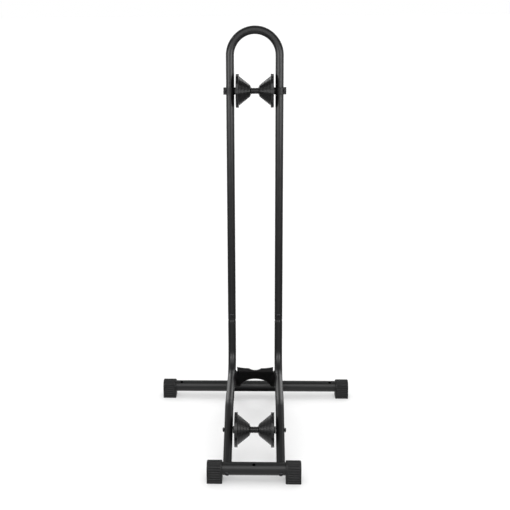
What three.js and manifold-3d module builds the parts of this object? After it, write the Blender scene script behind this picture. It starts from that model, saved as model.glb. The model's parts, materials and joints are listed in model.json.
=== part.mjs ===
// Floor bike rack. A tall tube hoop plugs onto two bent side tubes, which run forward from the hoop and
// slope down to a narrow front bar. A folded plate ties them to a wide rear bar and holds the back of the
// tyre in its notch. Two grooved rollers guide the wheel: the lower one turns on an axle between the side
// tubes, and the upper one turns between two clamp collars that slide on the legs of the hoop.
// Millimetres, +Z up, floor at z = 0. +X is the rack's right, and the wheel rolls in from the front, -Y.
import * as THREE from 'three';
import { mergeVertices } from 'three/addons/utils/BufferGeometryUtils.js';
import Module from 'manifold-3d';

const wasm = await Module();
wasm.setup();

// Tubes
const TUBE_DIAMETER = 19;
const TUBE_WALL = 1.5;
const LEG_SPACING = 114; // between the axes of the two legs of the hoop
const HOOP_HEIGHT = 937.8; // top of the hoop above the floor
const JOINT_HEIGHT = 236.5; // lower end of the hoop's legs
const RUN_HEIGHT = 106; // axis of the level run of a side tube
const BEND_RADIUS = 57; // axis of both bends of a side tube
const SLOPE = THREE.MathUtils.degToRad(27); // front stretch of a side tube, below the level
const SPIGOT_LENGTH = 38;
const SHOULDER_DROP = 6; // height of the swaged shoulder under the hoop's leg
const SHOULDER_STEP = 1.2; // how far the shoulder draws in before it meets the spigot

// Cross bars and feet
const BAR_DIAMETER = 28;
const BAR_WALL = 2;
const BAR_HEIGHT = 27; // axis of both bars above the floor
const FRONT_REACH = 375; // from the plane of the hoop to the axis of the front bar
const REAR_REACH = 84.2; // from the plane of the hoop to the axis of the rear bar
const FRONT_SPAN = 200.5; // over the front feet
const REAR_SPAN = 477; // over the rear feet
const FOOT_LENGTH = 33;
const FOOT_WALL = 4; // around the bar
const FOOT_END_WALL = 6; // beyond the end of the bar
const FOOT_BEVEL = 2.6; // along the bar
const FOOT_BEVEL_DEPTH = 1.6; // across the bar
const FACE_FLUTES = 4; // on each upright face of a foot
const ARCH_FLUTES = 7; // over its round top
const FLUTE_WIDTH = 2;
const FLUTE_DEPTH = 0.7;
const REAR_HOLE_INSET = 47.5; // accessory holes of the rear bar, from the end of the foot
const ACCESSORY_HOLE = 7;

// Rollers
const ROLLER_DIAMETER = 77;
const ROLLER_WIDTH = 87.5;
const RIM_WIDTH = 7;
const GROOVE_MOUTH = 68.4; // diameter where the groove meets the rims
const GROOVE_FLOOR = 27.6; // diameter at the foot of the cones
const GROOVE_FLOOR_WIDTH = 22;
const NECK_WIDTH = 16.8; // bare sleeve between the two cones
const SLEEVE_DIAMETER = 14;
const SLEEVE_END = 35.1; // half the length of the sleeve
const NECK_EDGE = 1; // thickness of a cone where it ends at the neck
const RING_COUNT = 4;
const RING_DEPTH = 0.5;
const SHELL_WALL = 3;
const HUB_WALL = 3.2;
const CONE_RIB_COUNT = 6;
const CONE_RIB_WIDTH = 2.4;
const AXLE_DIAMETER = 10;
const LOWER_AXLE_FROM_BAR = 103; // along the slope, from the axis of the front bar
const UPPER_AXLE_DROP = 146.8; // below the top of the hoop, where the carriage is clamped

// Clamp collars of the upper roller
const COLLAR_HEIGHT = 15.8;
const COLLAR_WALL = 2.7;
const EAR_REACH = 15.6; // from the axis of the leg to the outer end of the ears
const EAR_DEPTH = 15; // over both ears, front to back
const EAR_SLOT = 1.8;
const BOSS_DIAMETER = 16;
const AXLE_SEAT_WALL = 2.5; // left between the axle's end and the leg's bore

// Cradle plate
const PLATE_THICKNESS = 3;
const FOLD_REACH = 40; // lower face of the fold, ahead of the hoop's plane
const FOLD_HEIGHT = 116;
const LEG_SEAT_ANGLE = THREE.MathUtils.degToRad(19); // where the legs' lower face meets the rear bar
const LIP_LEAN = THREE.MathUtils.degToRad(27.7); // forward of upright, towards the wheel's centre
const LIP_WIDTH = 87.6;
const LIP_EAR_HEIGHT = 13.2; // along the lip, at its outer ends
const LIP_SHOULDER_HEIGHT = 8.4; // along the lip, beside the notch
const NOTCH_WIDTH = 29.2;
const NOTCH_DEPTH = 6.6;
const RELIEF_DROP = 2.2; // corner reliefs under the fold
const PLATE_WIDTH = 116; // over the legs
const PLATE_NECK_LENGTH = 26; // stretch of the plate that lies between the side tubes
const ARCH_WIDTH = 80;
const ARCH_TOP = 69; // from the fold, down the plate

// Screws and plugs
const SCREW_DIAMETER = 6;
const SCREW_HEAD_DIAMETER = 10.5;
const SCREW_HEAD_HEIGHT = 3.3;
const SCREW_RIM_HEIGHT = 1.1; // plain edge under the dome of the head
const SCREW_CROWN_DIAMETER = 6.6; // flat top of the head
const SOCKET_DEPTH = 2;
const SOCKET_WIDTH = 4; // across the flats
const SCREW_ENGAGEMENT = 12; // length in the thread
const PLUG_LENGTH = 24;
const JOINT_SCREW_LIFT = 13.5; // above the lower end of the hoop's legs
const SPOT_FACE_DEPTH = 0.8;
const CLAMP_SCREW_DIAMETER = 3;
const CLAMP_HEAD_DIAMETER = 5.5;
const CLAMP_HEAD_HEIGHT = 3;
const CLAMP_HEAD_CHAMFER = 0.4;
const CLAMP_SOCKET_WIDTH = 2.5; // across the flats
const CLAMP_SOCKET_DEPTH = 1.5;
const CLAMP_NUT_WIDTH = 5.5; // across the flats
const CLAMP_NUT_HEIGHT = 2.4;
const CLAMP_SCREW_OFFSET = 12.9; // from the axis of the leg

// Clearances
const FIT = 0.3; // between pieces that seat on or in each other
const OVERSHOOT = 1; // of a cutter past the face it opens
const SIDE_PLAY = 0.3; // at each end of a roller's sleeve

// Facets
const TUBE_SIDES = 16;
const BAR_SIDES = 20;
const ROLLER_SIDES = 24;
const SCREW_SIDES = 12;
const LIP_STEPS = 5; // on each side of the lip's edge, in the notch and again beside it
const ARCH_STEPS = 12;
const BEND_STEP = THREE.MathUtils.degToRad(15);

// Sizes that follow
const tubeRadius = TUBE_DIAMETER / 2;
const tubeBore = tubeRadius - TUBE_WALL;
const barRadius = BAR_DIAMETER / 2;
const legX = LEG_SPACING / 2;
const hoopArcHeight = HOOP_HEIGHT - tubeRadius - legX;
const spigotRadius = tubeBore - FIT;
const slopeDirection = new THREE.Vector3(0, -Math.cos(SLOPE), -Math.sin(SLOPE));
const slopeNormal = new THREE.Vector3(0, -Math.sin(SLOPE), Math.cos(SLOPE));
const frontBarAxis = new THREE.Vector3(0, -FRONT_REACH, BAR_HEIGHT);
const rearBarAxis = new THREE.Vector3(0, REAR_REACH, BAR_HEIGHT);
const lowerAxleAxis = frontBarAxis.clone().addScaledVector(slopeDirection, -LOWER_AXLE_FROM_BAR);
const upperAxleAxis = new THREE.Vector3(0, 0, HOOP_HEIGHT - UPPER_AXLE_DROP);
const footTopRadius = barRadius + FOOT_WALL;
const sleeveRadius = SLEEVE_DIAMETER / 2;
const axleRadius = AXLE_DIAMETER / 2;
const axleBore = axleRadius + FIT;
const bossRadius = BOSS_DIAMETER / 2;
const legBore = tubeRadius + FIT;
const collarRadius = legBore + COLLAR_WALL;
const screwHole = SCREW_DIAMETER / 2 + FIT;
const hubEnd = SLEEVE_END + SIDE_PLAY;

// Finishes
function finish(color, roughness, metalness) {
  return new THREE.MeshStandardMaterial({ color, roughness, metalness });
}

const paintedSteel = () => finish(0x262728, 0.5, 0.2);
const mouldedPlastic = () => finish(0x1b1b1c, 0.4, 0);
const footPlastic = () => finish(0x2a2a2b, 0.75, 0);
const blackenedSteel = () => finish(0x161617, 0.45, 0.7);
const platedSteel = () => finish(0x9a9c9e, 0.35, 0.9);

// Solids. A closed geometry becomes a solid that can be cut and joined, and a solid becomes a geometry.
function solidOf(geometry) {
  const bare = geometry.clone();
  for (const name of Object.keys(bare.attributes)) {
    if (name !== 'position') {
      bare.deleteAttribute(name);
    }
  }
  const merged = mergeVertices(bare, 1e-4);
  const corners = [];
  const index = merged.index.array;
  for (let i = 0; i < index.length; i += 3) {
    const [a, b, c] = [index[i], index[i + 1], index[i + 2]];
    if (a !== b && b !== c && c !== a) {
      corners.push(a, b, c);
    }
  }
  const mesh = new wasm.Mesh({
    numProp: 3,
    vertProperties: new Float32Array(merged.attributes.position.array),
    triVerts: new Uint32Array(corners),
  });
  return new wasm.Manifold(mesh);
}

function geometryOf(solid) {
  const mesh = solid.getMesh();
  const geometry = new THREE.BufferGeometry();
  geometry.setAttribute('position', new THREE.BufferAttribute(mesh.vertProperties, 3));
  geometry.setIndex(new THREE.BufferAttribute(mesh.triVerts, 1));
  geometry.computeVertexNormals();
  return geometry;
}

function piece(name, solid, material) {
  const mesh = new THREE.Mesh(geometryOf(solid), material);
  mesh.name = name;
  return mesh;
}

function disc(radius) {
  const shape = new THREE.Shape();
  shape.absarc(0, 0, radius, 0, 2 * Math.PI);
  return shape;
}

function box(from, to) {
  const size = to.clone().sub(from);
  const geometry = new THREE.BoxGeometry(size.x, size.y, size.z);
  const centre = from.clone().add(to).multiplyScalar(0.5);
  geometry.translate(centre.x, centre.y, centre.z);
  return solidOf(geometry);
}

// A round rod between two points.
function rod(from, to, radius, sides = SCREW_SIDES) {
  const along = to.clone().sub(from);
  const geometry = new THREE.CylinderGeometry(radius, radius, along.length(), sides);
  const turn = new THREE.Quaternion().setFromUnitVectors(new THREE.Vector3(0, 1, 0), along.normalize());
  geometry.applyQuaternion(turn);
  const centre = from.clone().add(to).multiplyScalar(0.5);
  geometry.translate(centre.x, centre.y, centre.z);
  return solidOf(geometry);
}

// A turned body: the profile is a list of [distance along the axis, radius].
function turned(profile, origin, direction, sides) {
  const points = profile.map(([along, radius]) => new THREE.Vector2(radius, along));
  const geometry = new THREE.LatheGeometry(points, sides);
  const turn = new THREE.Quaternion().setFromUnitVectors(new THREE.Vector3(0, 1, 0), direction);
  geometry.applyQuaternion(turn);
  geometry.translate(origin.x, origin.y, origin.z);
  return solidOf(geometry);
}

// A path with a station wherever the swept section has to turn, so that straights take one step.
class StationPath extends THREE.Curve {
  constructor(stations) {
    super();
    this.stations = stations;
  }

  stationAt(t) {
    return this.stations[Math.round(t * (this.stations.length - 1))];
  }

  getPoint(t) {
    return this.stationAt(t).point.clone();
  }

  getPointAt(t) {
    return this.getPoint(t);
  }

  getTangent(t) {
    return this.stationAt(t).tangent.clone();
  }

  getTangentAt(t) {
    return this.getTangent(t);
  }
}

function sweep(radius, stations) {
  const geometry = new THREE.ExtrudeGeometry(disc(radius), {
    extrudePath: new StationPath(stations),
    steps: stations.length - 1,
    curveSegments: TUBE_SIDES / 2,
    bevelEnabled: false,
  });
  return solidOf(geometry);
}

// Stations of an arc about a centre, from the unit vector "from", turning towards the unit vector "towards".
function arcStations(centre, from, towards, radius, angle) {
  const count = Math.ceil(angle / BEND_STEP);
  const stations = [];
  for (let i = 0; i <= count; i += 1) {
    const turn = (angle * i) / count;
    const out = from.clone().multiplyScalar(Math.cos(turn)).addScaledVector(towards, Math.sin(turn));
    const tangent = towards.clone().multiplyScalar(Math.cos(turn)).addScaledVector(from, -Math.sin(turn));
    stations.push({ point: centre.clone().addScaledVector(out, radius), tangent });
  }
  return stations;
}

const UP = new THREE.Vector3(0, 0, 1);
const DOWN = new THREE.Vector3(0, 0, -1);
const RIGHT = new THREE.Vector3(1, 0, 0);
const LEFT = new THREE.Vector3(-1, 0, 0);
const FRONT = new THREE.Vector3(0, -1, 0);
const BACK = new THREE.Vector3(0, 1, 0);

// Button screw with a hexagon socket. "seat" is the underside of the head, and the head stands proud
// along "outward".
function buttonScrew(name, seat, outward, shank) {
  const head = SCREW_HEAD_DIAMETER / 2;
  const profile = [
    [-shank, 0],
    [-shank, SCREW_DIAMETER / 2],
    [0, SCREW_DIAMETER / 2],
    [0, head],
    [SCREW_RIM_HEIGHT, head],
    [SCREW_HEAD_HEIGHT, SCREW_CROWN_DIAMETER / 2],
    [SCREW_HEAD_HEIGHT, 0],
  ];
  const body = turned(profile, seat, outward, SCREW_SIDES);
  const socketFrom = seat.clone().addScaledVector(outward, SCREW_HEAD_HEIGHT - SOCKET_DEPTH);
  const socketTo = seat.clone().addScaledVector(outward, SCREW_HEAD_HEIGHT + OVERSHOOT);
  const socket = rod(socketFrom, socketTo, SOCKET_WIDTH / Math.sqrt(3), 6);
  return piece(name, body.subtract(socket), blackenedSteel());
}

// Hoop
function hoopStations(bottom) {
  return [
    { point: new THREE.Vector3(legX, 0, bottom), tangent: UP.clone() },
    ...arcStations(new THREE.Vector3(0, 0, hoopArcHeight), RIGHT, UP, legX, Math.PI),
    { point: new THREE.Vector3(-legX, 0, bottom), tangent: DOWN.clone() },
  ];
}

function hoopTube() {
  const bore = sweep(tubeBore, hoopStations(JOINT_HEIGHT - OVERSHOOT));
  let solid = sweep(tubeRadius, hoopStations(JOINT_HEIGHT)).subtract(bore);
  for (const side of [-1, 1]) {
    const axis = new THREE.Vector3(side * legX, 0, JOINT_HEIGHT + JOINT_SCREW_LIFT);
    solid = solid.subtract(rod(axis, axis.clone().addScaledVector(FRONT, TUBE_DIAMETER), screwHole));
  }
  return piece('hoop_tube', solid, paintedSteel());
}

// Axis of a side tube from under the hoop's leg to the axis of the front bar.
function sideTubeStations(x, topHeight, overshoot) {
  const firstCentre = new THREE.Vector3(x, -BEND_RADIUS, RUN_HEIGHT + BEND_RADIUS);
  const corner = FRONT_REACH - (RUN_HEIGHT - BAR_HEIGHT) / Math.tan(SLOPE);
  const secondStart = corner - BEND_RADIUS * Math.tan(SLOPE / 2);
  const secondCentre = new THREE.Vector3(x, -secondStart, RUN_HEIGHT - BEND_RADIUS);
  const end = frontBarAxis.clone().setX(x).addScaledVector(slopeDirection, overshoot);
  return [
    { point: new THREE.Vector3(x, 0, topHeight), tangent: DOWN.clone() },
    ...arcStations(firstCentre, BACK, DOWN, BEND_RADIUS, Math.PI / 2),
    ...arcStations(secondCentre, UP, FRONT, BEND_RADIUS, SLOPE),
    { point: end, tangent: slopeDirection.clone() },
  ];
}

function barCutter(axis) {
  const reach = new THREE.Vector3(REAR_SPAN / 2, 0, 0);
  return rod(axis.clone().sub(reach), axis.clone().add(reach), barRadius + FIT, BAR_SIDES);
}

// Side tube: the upper end is swaged down to a spigot, and the lower end is coped to the front bar.
function sideTube(name, side) {
  const x = side * legX;
  const seat = JOINT_HEIGHT - FIT;
  const shoulderFoot = seat - SHOULDER_DROP;
  const shoulder = turned(
    [
      [shoulderFoot, 0],
      [shoulderFoot, tubeRadius],
      [seat - SHOULDER_DROP / 3, tubeRadius - SHOULDER_STEP / 3],
      [seat, tubeRadius - SHOULDER_STEP],
      [seat, spigotRadius],
      [seat + SPIGOT_LENGTH - TUBE_WALL, spigotRadius],
      [seat + SPIGOT_LENGTH, spigotRadius - TUBE_WALL / 2],
      [seat + SPIGOT_LENGTH, 0],
    ],
    new THREE.Vector3(x, 0, 0),
    UP,
    TUBE_SIDES,
  );
  const spigotBore = spigotRadius - TUBE_WALL;
  const boreFrom = new THREE.Vector3(x, 0, shoulderFoot - TUBE_WALL);
  const boreTo = new THREE.Vector3(x, 0, seat + SPIGOT_LENGTH + TUBE_WALL);
  let solid = sweep(tubeRadius, sideTubeStations(x, shoulderFoot, 0)).add(shoulder);
  solid = solid.subtract(sweep(tubeBore, sideTubeStations(x, shoulderFoot, OVERSHOOT)));
  solid = solid.subtract(rod(boreFrom, boreTo, spigotBore, TUBE_SIDES));
  solid = solid.subtract(barCutter(frontBarAxis));
  const screwAxis = new THREE.Vector3(x, 0, JOINT_HEIGHT + JOINT_SCREW_LIFT);
  const screwFront = screwAxis.clone().addScaledVector(FRONT, TUBE_DIAMETER);
  solid = solid.subtract(rod(screwAxis, screwFront, screwHole));
  const across = new THREE.Vector3(TUBE_DIAMETER, 0, 0);
  const axle = lowerAxleAxis.clone().setX(x);
  solid = solid.subtract(rod(axle.clone().sub(across), axle.clone().add(across), screwHole));
  return piece(name, solid, paintedSteel());
}

// Threaded plug inside a spigot, across the joint screw.
function jointPlug(name, side) {
  const centre = new THREE.Vector3(side * legX, 0, JOINT_HEIGHT + JOINT_SCREW_LIFT);
  const half = PLUG_LENGTH / 2;
  const radius = spigotRadius - TUBE_WALL - FIT;
  const bottom = centre.clone().addScaledVector(DOWN, half);
  const top = centre.clone().addScaledVector(UP, half);
  const back = centre.clone().addScaledVector(BACK, tubeRadius);
  const front = centre.clone().addScaledVector(FRONT, tubeRadius);
  const thread = rod(back, front, screwHole);
  return piece(name, rod(bottom, top, radius, TUBE_SIDES).subtract(thread), platedSteel());
}

function jointScrew(name, side) {
  const seat = new THREE.Vector3(side * legX, -tubeRadius - FIT, JOINT_HEIGHT + JOINT_SCREW_LIFT);
  return buttonScrew(name, seat, FRONT, tubeRadius + SCREW_DIAMETER / 2);
}

// Threaded plug in the coped end of a side tube.
function tubeEndPlug(name, side) {
  const end = frontBarAxis.clone().setX(side * legX);
  const back = end.clone().addScaledVector(slopeDirection, -barRadius - PLUG_LENGTH);
  const body = rod(back, end, tubeBore - FIT, TUBE_SIDES).subtract(barCutter(frontBarAxis));
  const thread = rod(back.clone().addScaledVector(slopeDirection, -OVERSHOOT), end, screwHole);
  return piece(name, body.subtract(thread), platedSteel());
}

function frontBarBolt(name, side) {
  const seatDistance = barRadius - SPOT_FACE_DEPTH + FIT;
  const seat = frontBarAxis.clone().setX(side * legX).addScaledVector(slopeDirection, seatDistance);
  return buttonScrew(name, seat, slopeDirection, 2 * barRadius + SCREW_ENGAGEMENT);
}

// A cross bar is an open-ended tube.
function barTube(axis, span) {
  const half = new THREE.Vector3(span / 2 - FOOT_END_WALL - FIT, 0, 0);
  const from = axis.clone().sub(half);
  const to = axis.clone().add(half);
  const over = new THREE.Vector3(OVERSHOOT, 0, 0);
  const bore = rod(from.clone().sub(over), to.clone().add(over), barRadius - BAR_WALL, BAR_SIDES);
  return rod(from, to, barRadius, BAR_SIDES).subtract(bore);
}

// A hole in the upper front of a bar, square to the slope of the side tubes.
function accessoryHole(axis, x) {
  const centre = axis.clone().setX(x);
  return rod(centre, centre.clone().addScaledVector(slopeNormal, BAR_DIAMETER), ACCESSORY_HOLE / 2);
}

function frontBar() {
  let solid = barTube(frontBarAxis, FRONT_SPAN).subtract(accessoryHole(frontBarAxis, 0));
  for (const side of [-1, 1]) {
    const centre = frontBarAxis.clone().setX(side * legX);
    const inner = centre.clone().addScaledVector(slopeDirection, -BAR_DIAMETER);
    const outer = centre.clone().addScaledVector(slopeDirection, BAR_DIAMETER);
    const face = centre.clone().addScaledVector(slopeDirection, barRadius - SPOT_FACE_DEPTH);
    solid = solid.subtract(rod(inner, outer, screwHole));
    solid = solid.subtract(rod(face, outer, SCREW_HEAD_DIAMETER / 2 + FIT));
  }
  return piece('front_bar', solid, paintedSteel());
}

function rearBar() {
  let solid = barTube(rearBarAxis, REAR_SPAN);
  for (const side of [-1, 1]) {
    solid = solid.subtract(accessoryHole(rearBarAxis, side * (REAR_SPAN / 2 - REAR_HOLE_INSET)));
  }
  return piece('rear_bar', solid, paintedSteel());
}

// Outline of a foot seen along the bar: a flat sole, two fluted upright faces and a fluted round top.
function footOutline() {
  const half = footTopRadius;
  const groove = FLUTE_WIDTH / 2;
  const facePitch = BAR_HEIGHT / (FACE_FLUTES + 1);
  const face = [new THREE.Vector2(half, 0)];
  for (let i = 1; i <= FACE_FLUTES; i += 1) {
    const height = i * facePitch;
    face.push(new THREE.Vector2(half, height - groove));
    face.push(new THREE.Vector2(half - FLUTE_DEPTH, height));
    face.push(new THREE.Vector2(half, height + groove));
  }
  const archPitch = Math.PI / (ARCH_FLUTES + 1);
  const grooveAngle = groove / half;
  const arch = [];
  const addToArch = (angle, depth) => {
    const radius = half - depth;
    arch.push(new THREE.Vector2(radius * Math.cos(angle), BAR_HEIGHT + radius * Math.sin(angle)));
  };
  addToArch(0, 0);
  for (let i = 1; i <= ARCH_FLUTES; i += 1) {
    addToArch(i * archPitch - grooveAngle, 0);
    addToArch(i * archPitch, FLUTE_DEPTH);
    addToArch(i * archPitch + grooveAngle, 0);
  }
  addToArch(Math.PI, 0);
  const otherFace = face.map((point) => new THREE.Vector2(-point.x, point.y)).reverse();
  return new THREE.Shape([...face, ...arch, ...otherFace]);
}

function foot(name, axis, span, side) {
  const geometry = new THREE.ExtrudeGeometry(footOutline(), {
    depth: FOOT_LENGTH - 2 * FOOT_BEVEL,
    bevelThickness: FOOT_BEVEL,
    bevelSize: FOOT_BEVEL_DEPTH,
    bevelOffset: -FOOT_BEVEL_DEPTH,
    bevelSegments: 1,
  });
  geometry.rotateX(Math.PI / 2);
  geometry.rotateZ(Math.PI / 2);
  const outerEnd = (side * span) / 2;
  const start = side > 0 ? outerEnd - FOOT_LENGTH + FOOT_BEVEL : outerEnd + FOOT_BEVEL;
  geometry.translate(start, axis.y, 0);
  const mouth = axis.clone().setX(outerEnd - side * (FOOT_LENGTH + OVERSHOOT));
  const bottom = axis.clone().setX(outerEnd - side * FOOT_END_WALL);
  const solid = solidOf(geometry).subtract(rod(mouth, bottom, barRadius + FIT, BAR_SIDES));
  return piece(name, solid, footPlastic());
}

// Cradle plate: the folded profile runs across the rack, and its outline is then cut.
function cradleBracket() {
  const fold = new THREE.Vector2(-FOLD_REACH, FOLD_HEIGHT);
  const seatOut = new THREE.Vector2(-Math.cos(LEG_SEAT_ANGLE), Math.sin(LEG_SEAT_ANGLE));
  const seat = new THREE.Vector2(REAR_REACH, BAR_HEIGHT).addScaledVector(seatOut, barRadius);
  const downPlate = seat.clone().sub(fold).normalize();
  const upLip = new THREE.Vector2(-Math.sin(LIP_LEAN), Math.cos(LIP_LEAN));
  const plateBack = new THREE.Vector2(-downPlate.y, downPlate.x).multiplyScalar(PLATE_THICKNESS);
  const lipBack = new THREE.Vector2(upLip.y, -upLip.x).multiplyScalar(PLATE_THICKNESS);
  const bisector = plateBack.clone().add(lipBack).normalize();
  const mitre = PLATE_THICKNESS / bisector.dot(lipBack.clone().normalize());
  const lipTop = fold.clone().addScaledVector(upLip, LIP_EAR_HEIGHT);
  const legEnd = seat.clone().addScaledVector(downPlate, barRadius / 2);
  const profile = new THREE.Shape([
    fold,
    lipTop,
    lipTop.clone().add(lipBack),
    fold.clone().addScaledVector(bisector, mitre),
    legEnd.clone().add(plateBack),
    legEnd,
  ]);
  const sheet = new THREE.ExtrudeGeometry(profile, { depth: PLATE_WIDTH, bevelEnabled: false });
  sheet.rotateX(Math.PI / 2);
  sheet.rotateZ(Math.PI / 2);
  sheet.translate(-PLATE_WIDTH / 2, 0, 0);
  let solid = solidOf(sheet);

  const foldPoint = new THREE.Vector3(0, fold.x, fold.y);
  const lipDirection = new THREE.Vector3(0, upLip.x, upLip.y);
  const plateDirection = new THREE.Vector3(0, downPlate.x, downPlate.y);
  const cut = (shape, direction) => {
    const normal = new THREE.Vector3().crossVectors(RIGHT, direction);
    const reach = 3 * PLATE_THICKNESS;
    const cutter = new THREE.ExtrudeGeometry(shape, {
      depth: 2 * reach,
      curveSegments: ARCH_STEPS,
      bevelEnabled: false,
    });
    cutter.translate(0, 0, -reach);
    cutter.applyMatrix4(new THREE.Matrix4().makeBasis(RIGHT, direction, normal).setPosition(foldPoint));
    solid = solid.subtract(solidOf(cutter));
  };
  cut(lipTopWaste(), lipDirection);
  const arch = new THREE.Shape();
  const plateLength = seat.distanceTo(fold) + barRadius;
  arch.absellipse(0, plateLength, ARCH_WIDTH / 2, plateLength - ARCH_TOP, 0, 2 * Math.PI);
  cut(arch, plateDirection);

  const gap = LEG_SPACING - TUBE_DIAMETER - 2 * FIT;
  const reliefHeight = FOLD_HEIGHT - RELIEF_DROP;
  const neckHeight = FOLD_HEIGHT + PLATE_NECK_LENGTH * downPlate.y;
  for (const side of [-1, 1]) {
    solid = solid.subtract(sideWaste(side, LIP_WIDTH / 2, reliefHeight));
    solid = solid.subtract(sideWaste(side, gap / 2, neckHeight));
  }
  solid = solid.subtract(barCutter(rearBarAxis));
  return piece('cradle_bracket', solid, paintedSteel());
}

// What is cut from the top of the lip: its edge dips from the ears to the shoulders, then into the notch.
function lipTopWaste() {
  const ear = LIP_WIDTH / 2;
  const shoulder = NOTCH_WIDTH / 2;
  const dip = LIP_EAR_HEIGHT - LIP_SHOULDER_HEIGHT;
  const notchRadius = (shoulder ** 2 + NOTCH_DEPTH ** 2) / (2 * NOTCH_DEPTH);
  const notchHalfAngle = Math.asin(shoulder / notchRadius);
  const notchFloor = LIP_SHOULDER_HEIGHT - NOTCH_DEPTH;
  const right = [];
  for (let i = 0; i <= LIP_STEPS; i += 1) {
    const angle = (notchHalfAngle * i) / LIP_STEPS;
    const rise = notchRadius * (1 - Math.cos(angle));
    right.push(new THREE.Vector2(notchRadius * Math.sin(angle), notchFloor + rise));
  }
  for (let i = 1; i <= LIP_STEPS; i += 1) {
    const share = i / LIP_STEPS;
    const x = shoulder + (ear - shoulder) * share;
    right.push(new THREE.Vector2(x, LIP_SHOULDER_HEIGHT + dip * share ** 2));
  }
  const left = right.slice(1).map((point) => new THREE.Vector2(-point.x, point.y));
  const top = 2 * LIP_EAR_HEIGHT;
  return new THREE.Shape([
    ...left.reverse(),
    ...right,
    new THREE.Vector2(PLATE_WIDTH, LIP_EAR_HEIGHT),
    new THREE.Vector2(PLATE_WIDTH, top),
    new THREE.Vector2(-PLATE_WIDTH, top),
    new THREE.Vector2(-PLATE_WIDTH, LIP_EAR_HEIGHT),
  ]);
}

// Everything outside a half width and above a height.
function sideWaste(side, halfWidth, height) {
  const outer = side * PLATE_WIDTH;
  const inner = side * halfWidth;
  const reach = FRONT_REACH;
  const from = new THREE.Vector3(Math.min(inner, outer), -reach, height);
  const to = new THREE.Vector3(Math.max(inner, outer), reach, HOOP_HEIGHT);
  return box(from, to);
}

// Roller: two moulded cones, hollow on their outer sides, on a sleeve that turns on the axle.
function rollerSleeve(name, centre) {
  const pitch = NECK_WIDTH / (RING_COUNT + 1);
  const outline = [[-SLEEVE_END, sleeveRadius]];
  for (let i = 0; i < RING_COUNT; i += 1) {
    const middle = (i - (RING_COUNT - 1) / 2) * pitch;
    outline.push([middle - pitch / 4, sleeveRadius]);
    outline.push([middle, sleeveRadius - RING_DEPTH]);
    outline.push([middle + pitch / 4, sleeveRadius]);
  }
  outline.push([SLEEVE_END, sleeveRadius], [SLEEVE_END, axleBore], [-SLEEVE_END, axleBore]);
  outline.push([-SLEEVE_END, sleeveRadius]);
  return piece(name, turned(outline, centre, RIGHT, TUBE_SIDES), mouldedPlastic());
}

function rollerCone(name, centre, side) {
  const bore = sleeveRadius + FIT;
  const rim = ROLLER_DIAMETER / 2;
  const mouth = GROOVE_MOUTH / 2;
  const floor = GROOVE_FLOOR / 2;
  const outerFace = ROLLER_WIDTH / 2;
  const rimFace = outerFace - RIM_WIDTH;
  const floorFace = GROOVE_FLOOR_WIDTH / 2;
  const flare = (mouth - floor) / (rimFace - floorFace);
  const shellOffset = SHELL_WALL * Math.hypot(1, flare);
  const hub = bore + HUB_WALL;
  const cavityStart = floorFace + (hub - floor + shellOffset) / flare;
  const rimBore = rim - SHELL_WALL;
  const cavityTop = rimFace + SHELL_WALL;
  const shellAt = (along) => floor + (along - floorFace) * flare - shellOffset;
  const profile = [
    [NECK_WIDTH / 2, bore],
    [NECK_WIDTH / 2, bore + NECK_EDGE],
    [floorFace, floor],
    [rimFace, mouth],
    [rimFace, rim],
    [outerFace, rim],
    [outerFace, rimBore],
    [cavityTop, rimBore],
    [cavityTop, shellAt(cavityTop)],
    [cavityStart, hub],
    [SLEEVE_END, hub],
    [SLEEVE_END, bore],
    [NECK_WIDTH / 2, bore],
  ];
  const direction = side > 0 ? RIGHT : LEFT;
  let solid = turned(profile, centre, direction, ROLLER_SIDES);
  // Radial ribs in the hollow run from the hub to the shell and end just inside them.
  const root = hub - HUB_WALL / 2;
  const rib = new THREE.Shape([
    new THREE.Vector2(cavityStart - SHELL_WALL / 2, root),
    new THREE.Vector2(SLEEVE_END, root),
    new THREE.Vector2(SLEEVE_END, hub),
    new THREE.Vector2(cavityTop, rimBore - SHELL_WALL),
    new THREE.Vector2(cavityTop, rimBore + SHELL_WALL / 2),
    new THREE.Vector2(cavityTop - SHELL_WALL / 2, rimBore - SHELL_WALL / 2),
  ]);
  for (let i = 0; i < CONE_RIB_COUNT; i += 1) {
    const geometry = new THREE.ExtrudeGeometry(rib, { depth: CONE_RIB_WIDTH, bevelEnabled: false });
    geometry.translate(0, 0, -CONE_RIB_WIDTH / 2);
    geometry.rotateX((i * 2 * Math.PI) / CONE_RIB_COUNT);
    geometry.rotateY(side > 0 ? 0 : Math.PI);
    geometry.translate(centre.x, centre.y, centre.z);
    solid = solid.add(solidOf(geometry));
  }
  return piece(name, solid, mouldedPlastic());
}

// Lower axle: a tapped rod between the side tubes, with a screw and a spacer at each end.
function lowerAxle() {
  const half = legX - tubeRadius - FIT;
  const from = lowerAxleAxis.clone().setX(-half);
  const to = lowerAxleAxis.clone().setX(half);
  let solid = rod(from, to, axleRadius, TUBE_SIDES);
  for (const side of [-1, 1]) {
    const outside = lowerAxleAxis.clone().setX(side * (half + OVERSHOOT));
    const inside = lowerAxleAxis.clone().setX(side * (half - SCREW_ENGAGEMENT - FIT));
    solid = solid.subtract(rod(inside, outside, screwHole));
  }
  return piece('lower_axle', solid, platedSteel());
}

function lowerAxleScrew(name, side) {
  const seat = lowerAxleAxis.clone().setX(side * (legX + tubeRadius + FIT));
  const shank = TUBE_DIAMETER + 2 * FIT + SCREW_ENGAGEMENT;
  return buttonScrew(name, seat, side > 0 ? RIGHT : LEFT, shank);
}

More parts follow.
